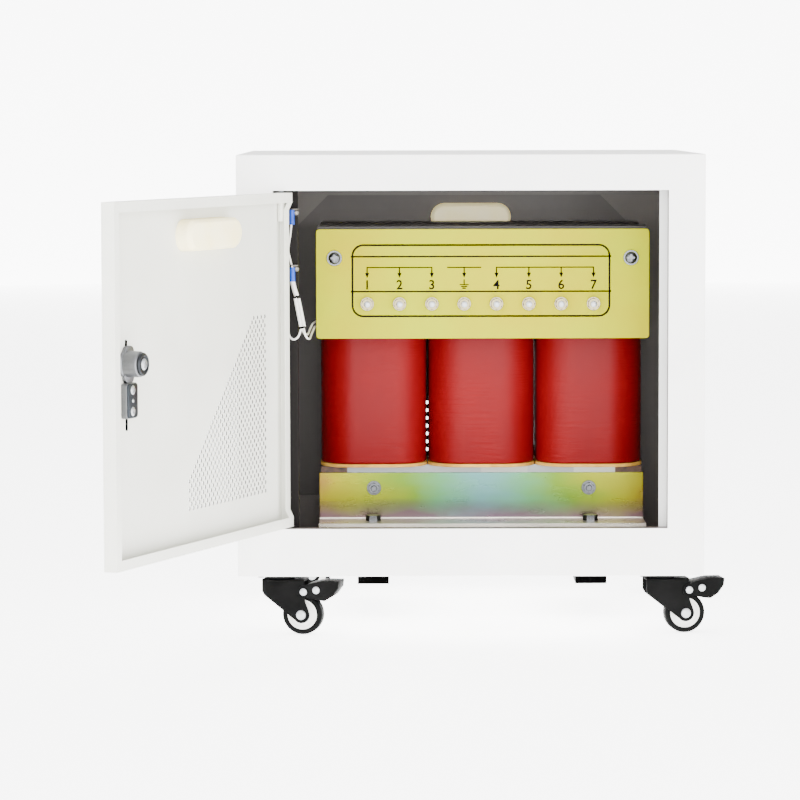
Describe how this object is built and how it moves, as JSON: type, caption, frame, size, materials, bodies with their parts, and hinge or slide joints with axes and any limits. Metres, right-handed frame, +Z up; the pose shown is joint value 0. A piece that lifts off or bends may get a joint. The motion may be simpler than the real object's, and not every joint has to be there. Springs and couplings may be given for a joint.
{
  "type": "dry type transformer",
  "caption": "Dry type transformer with red windings behind a yellow terminal board, in an open-front white steel cabinet with a hinged vented door and braked swivel casters.",
  "frame": {"origin": "centre of the four anchor holes in the skids' underside", "axes": "+X to the right seen from the door side, +Y to the rear cover, +Z up"},
  "size_m": [0.7343, 0.9181, 0.5975],
  "materials": {
    "cabinet_paint": "fine textured powder coat, off-white outside and dark grey inside",
    "strip_grey": "satin light grey",
    "strip_dark": "satin dark grey",
    "clamp_paint": "yellow zinc plating with iridescent tints",
    "black_paint": "satin black",
    "black_plastic": "moulded, matte",
    "black_rubber": "matte",
    "grip_plastic": "moulded cream, slight sheen",
    "zinc_steel": "zinc plated, satin",
    "lock_zinc": "die cast, chromed",
    "stud_brass": "nickel-bright brass",
    "lead_tin": "tinned, satin",
    "core_steel": "oiled lamination edges",
    "winding_film": "glossy red wrapping film",
    "board_tan": "pressed board, cut edges",
    "board_brown": "phenolic laminate, satin",
    "terminal_laminate": "yellow glass laminate, slight sheen",
    "sleeve_blue": "soft vinyl",
    "wire_white": "vinyl insulation",
    "sleeve_white": "braided sleeving",
    "rim_white": "moulded nylon",
    "tyre_black": "solid rubber"
  },
  "bodies": {
    "cabinet": {"board_standoffs": "zinc_steel", "cabinet_shell": "cabinet_paint", "cable_guard": "black_rubber", "caster_plates": "black_paint", "clamp_bolts": "zinc_steel", "control_wires": "wire_white", "core_stack": "core_steel", "core_top_yoke": "core_steel", "crimp_sleeves": "sleeve_blue", "foot_bolts": "zinc_steel", "front_lower_clamp": "clamp_paint", "front_upper_clamp": "clamp_paint", "hinge_pins": "zinc_steel", "lower_end_boards": "board_tan", "rear_frame": "cabinet_paint", "rear_grip_cup": "grip_plastic", "rear_lower_clamp": "clamp_paint", "rear_panel": "cabinet_paint", "rear_upper_clamp": "clamp_paint", "skid_end_caps": "black_plastic", "skid_rails": "black_paint", "spacer_rails": "black_paint", "strike_strip": "strip_grey", "terminal_board": "terminal_laminate", "terminal_studs": "stud_brass", "upper_end_boards": "board_tan", "winding_1": "winding_film", "winding_2": "winding_film", "winding_3": "winding_film", "winding_leads": "lead_tin", "wire_lugs": "lead_tin", "wire_sleeves": "sleeve_white", "wiring_strip": "strip_dark", "yoke_end_blocks": "board_brown"},
    "door": {"door_panel": "cabinet_paint", "door_grip_cup": "grip_plastic", "hinge_barrel": "cabinet_paint", "lock_body": "lock_zinc", "lock_bracket": "lock_zinc"},
    "lock": {"lock_lever": "lock_zinc", "lock_disc": "lock_zinc"},
    "swivel_front_left": {"fork_front_left": "black_paint", "caster_axle_front_left": "zinc_steel"},
    "wheel_front_left": {"wheel_rim_front_left": "rim_white", "tyre_front_left": "tyre_black"},
    "brake_front_left": {"brake_pedal_front_left": "black_paint"},
    "swivel_front_right": {"fork_front_right": "black_paint", "caster_axle_front_right": "zinc_steel"},
    "wheel_front_right": {"wheel_rim_front_right": "rim_white", "tyre_front_right": "tyre_black"},
    "brake_front_right": {"brake_pedal_front_right": "black_paint"},
    "swivel_rear_left": {"fork_rear_left": "black_paint", "caster_axle_rear_left": "zinc_steel"},
    "wheel_rear_left": {"wheel_rim_rear_left": "rim_white", "tyre_rear_left": "tyre_black"},
    "swivel_rear_right": {"fork_rear_right": "black_paint", "caster_axle_rear_right": "zinc_steel"},
    "wheel_rear_right": {"wheel_rim_rear_right": "rim_white", "tyre_rear_right": "tyre_black"}
  },
  "joints": [
    {"name": "door_hinge", "type": "hinge", "parent": "cabinet", "child": "door", "pos_m": [-0.25, -0.276, 0.3], "axis": [0, 0, 1], "range_deg": [0, 112.4]},
    {"name": "lock_turn", "type": "hinge", "parent": "door", "child": "lock", "pos_m": [-0.41483, -0.66017, 0.3245], "axis": [0.9245, -0.3811, 0], "range_deg": [0, 90]},
    {"name": "front_left_swivel", "type": "hinge", "parent": "cabinet", "child": "swivel_front_left", "pos_m": [-0.2555, -0.227, 0.025], "axis": [0, 0, 1], "continuous": true},
    {"name": "front_left_wheel", "type": "hinge", "parent": "swivel_front_left", "child": "wheel_front_left", "pos_m": [-0.22616, -0.23324, -0.01875], "axis": [0.2079, 0.9781, 0], "continuous": true},
    {"name": "front_left_brake", "type": "hinge", "parent": "swivel_front_left", "child": "brake_front_left", "pos_m": [-0.22254, -0.23401, 0.0105], "axis": [0.2079, 0.9781, 0], "range_deg": [0, 15]},
    {"name": "front_right_swivel", "type": "hinge", "parent": "cabinet", "child": "swivel_front_right", "pos_m": [0.2195, -0.227, 0.025], "axis": [0, 0, 1], "continuous": true},
    {"name": "front_right_wheel", "type": "hinge", "parent": "swivel_front_right", "child": "wheel_front_right", "pos_m": [0.24921, -0.22282, -0.01875], "axis": [-0.1392, 0.9903, 0], "continuous": true},
    {"name": "front_right_brake", "type": "hinge", "parent": "swivel_front_right", "child": "brake_front_right", "pos_m": [0.25287, -0.22231, 0.0105], "axis": [-0.1392, 0.9903, 0], "range_deg": [0, 15]},
    {"name": "rear_left_swivel", "type": "hinge", "parent": "cabinet", "child": "swivel_rear_left", "pos_m": [-0.2555, 0.143, 0.025], "axis": [0, 0, 1], "continuous": true},
    {"name": "rear_left_wheel", "type": "hinge", "parent": "swivel_rear_left", "child": "wheel_rear_left", "pos_m": [-0.22557, 0.14509, -0.01875], "axis": [-0.0698, 0.9976, 0], "continuous": true},
    {"name": "rear_right_swivel", "type": "hinge", "parent": "cabinet", "child": "swivel_rear_right", "pos_m": [0.2195, 0.143, 0.025], "axis": [0, 0, 1], "continuous": true},
    {"name": "rear_right_wheel", "type": "hinge", "parent": "swivel_rear_right", "child": "wheel_rear_right", "pos_m": [0.24934, 0.13986, -0.01875], "axis": [0.1045, 0.9945, 0], "continuous": true}
  ]
}
